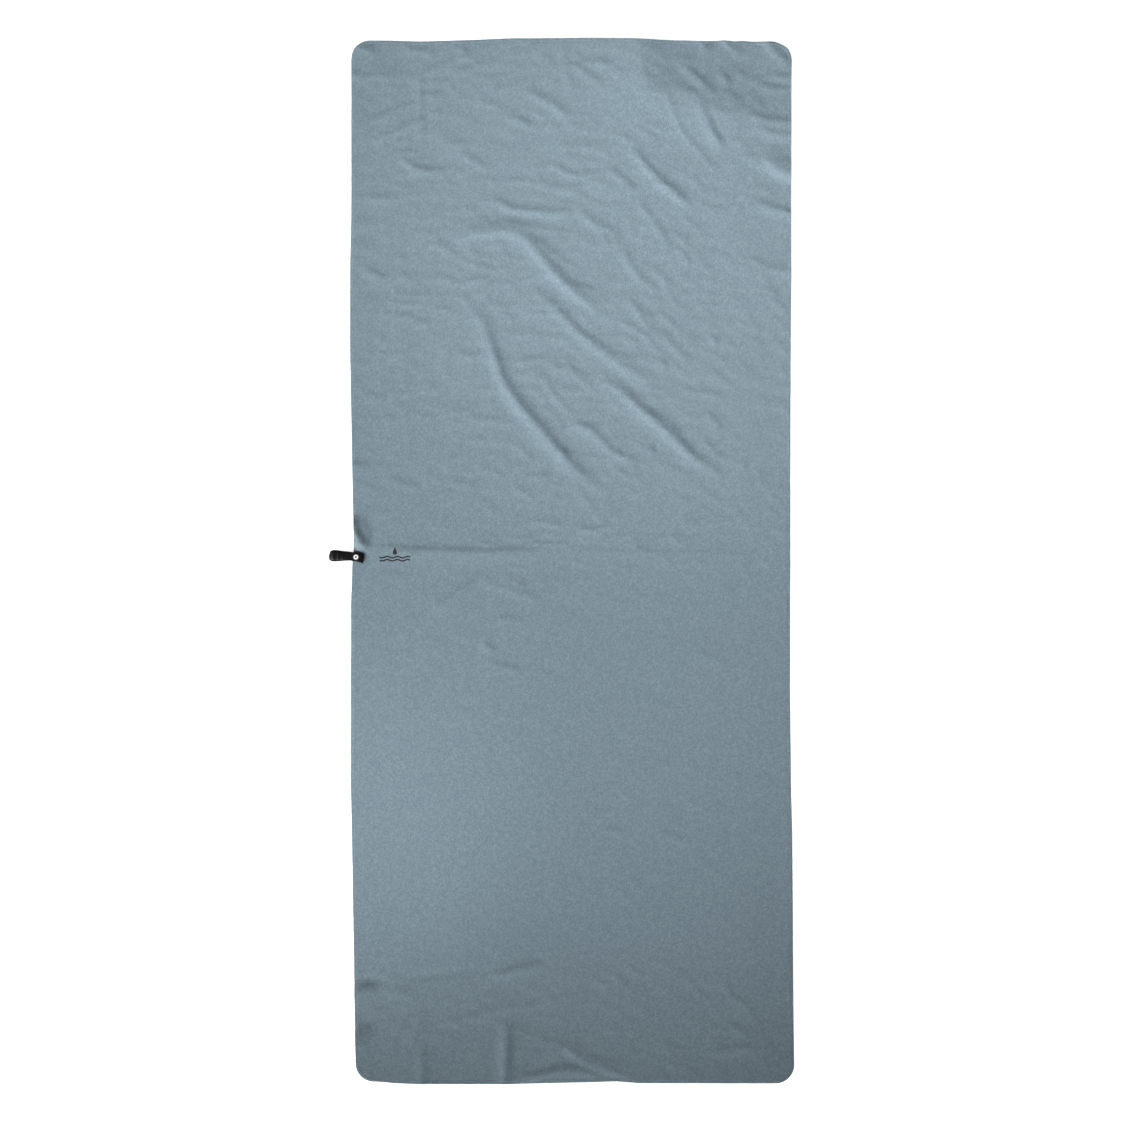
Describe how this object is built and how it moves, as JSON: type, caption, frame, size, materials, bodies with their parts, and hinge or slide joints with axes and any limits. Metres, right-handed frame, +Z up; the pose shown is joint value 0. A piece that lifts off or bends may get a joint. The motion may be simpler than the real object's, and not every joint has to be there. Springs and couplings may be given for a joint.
{
  "type": "travel towel",
  "caption": "Flat quick dry microfibre travel towel with rounded corners, an overlocked edge and a webbing hanging loop that opens at a metal snap.",
  "frame": {"origin": "centre of the towel's underside, on the surface that it lies on", "axes": "+Y along the towel's length, +X across its width away from the hanging loop, +Z up out of the printed face"},
  "size_m": [0.6314, 1.42, 0.009],
  "materials": {
    "cloth": "matte",
    "edge_thread": "matte",
    "webbing": "satin",
    "black_thread": "satin",
    "plated_steel": "satin",
    "spring_wire": "satin",
    "ink": "matte"
  },
  "bodies": {
    "towel": {"towel_panel": "cloth", "edge_needle_thread": "edge_thread", "edge_upper_looper_thread": "edge_thread", "edge_lower_looper_thread": "edge_thread", "print_motif": "ink", "loop_strap_sewn": "webbing", "loop_tack_thread": "black_thread", "snap_post": "plated_steel", "snap_stud": "plated_steel"},
    "loop_flap": {"loop_strap_free": "webbing", "snap_socket": "plated_steel", "snap_spring": "spring_wire", "snap_cap": "plated_steel"}
  },
  "joints": [
    {"name": "loop_flap_open", "type": "hinge", "parent": "towel", "child": "loop_flap", "pos_m": [-0.33086, 0.00922, 0.0045], "axis": [-0.0872, -0.9962, 0], "range_deg": [0, 170]}
  ]
}
